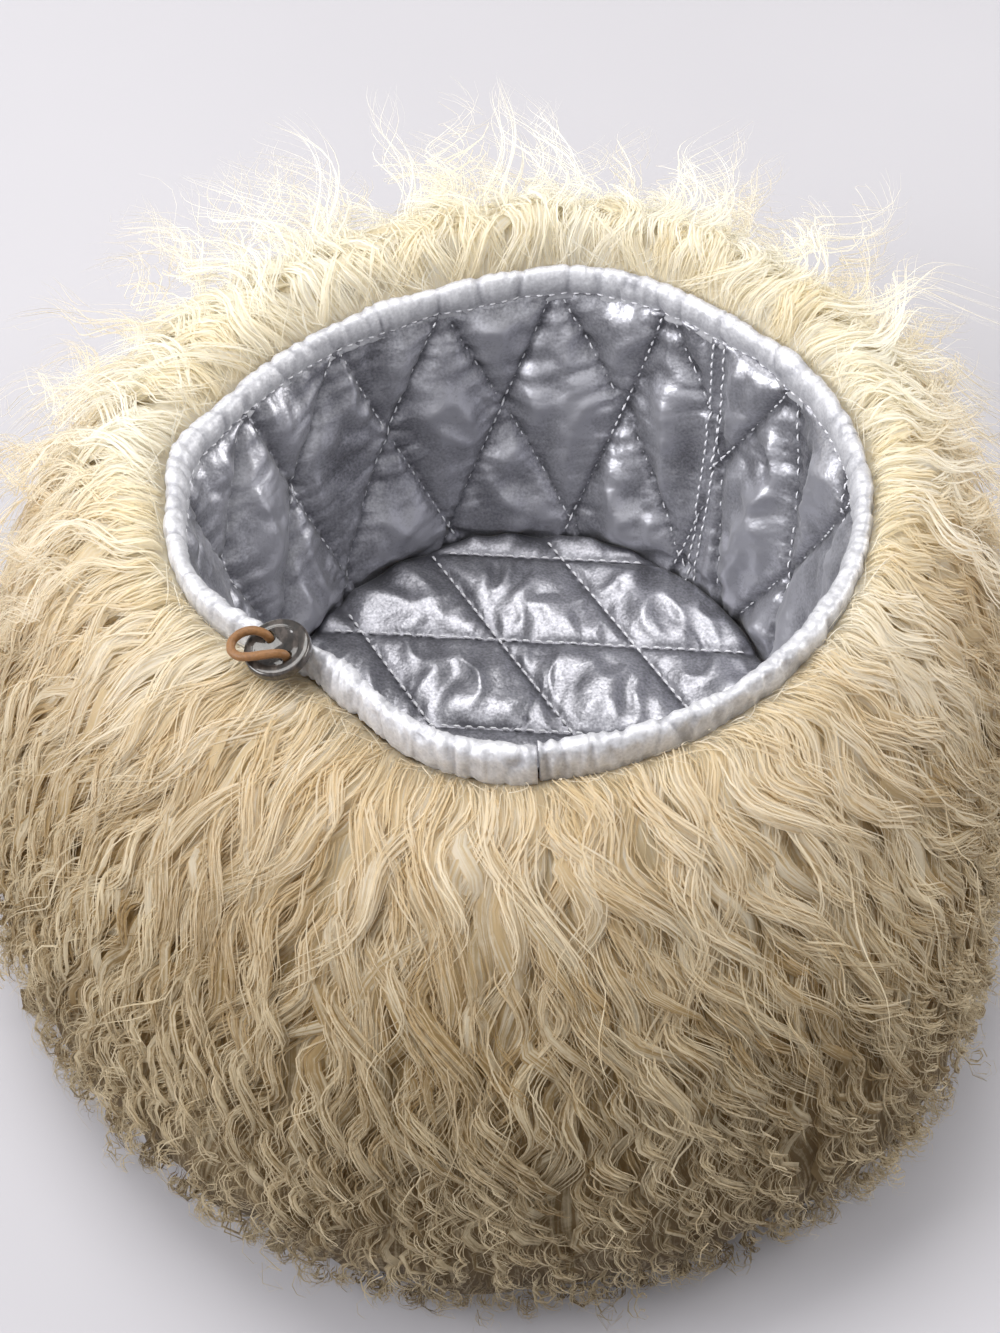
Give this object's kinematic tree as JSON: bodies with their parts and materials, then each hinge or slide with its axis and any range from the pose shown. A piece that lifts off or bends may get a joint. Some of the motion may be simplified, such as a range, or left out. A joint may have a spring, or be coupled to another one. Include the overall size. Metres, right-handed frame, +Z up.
{
  "type": "papakha",
  "caption": "Deep-wool sheepskin papakha lying on its crown, opening up, with a quilted satin lining, a gathered rim casing and a corded button.",
  "frame": {"origin": "on the floor under the middle of the hat's rim, where the crown rests", "axes": "+Z up out of the opening, +Y to the back, away from the casing's join, +X to the right seen from the front"},
  "size_m": [0.3351, 0.3777, 0.1421],
  "materials": {
    "wool": "long cream curly wool, silky near the rim and in small ringlets lower down",
    "lining_satin": "grey polyester satin quilted in diamonds with pale thread, strong sheen",
    "casing_satin": "the same satin gathered into small radial puckers",
    "marbled_horn": "polished grey-brown marbled horn",
    "tan_leather": "round tan leather cord, matt with a slight wax sheen"
  },
  "bodies": {
    "root": {"fleece": "wool", "lining_side": "lining_satin", "lining_top": "lining_satin", "rim_casing": "casing_satin", "button": "marbled_horn", "button_cord": "tan_leather"}
  },
  "joints": []
}
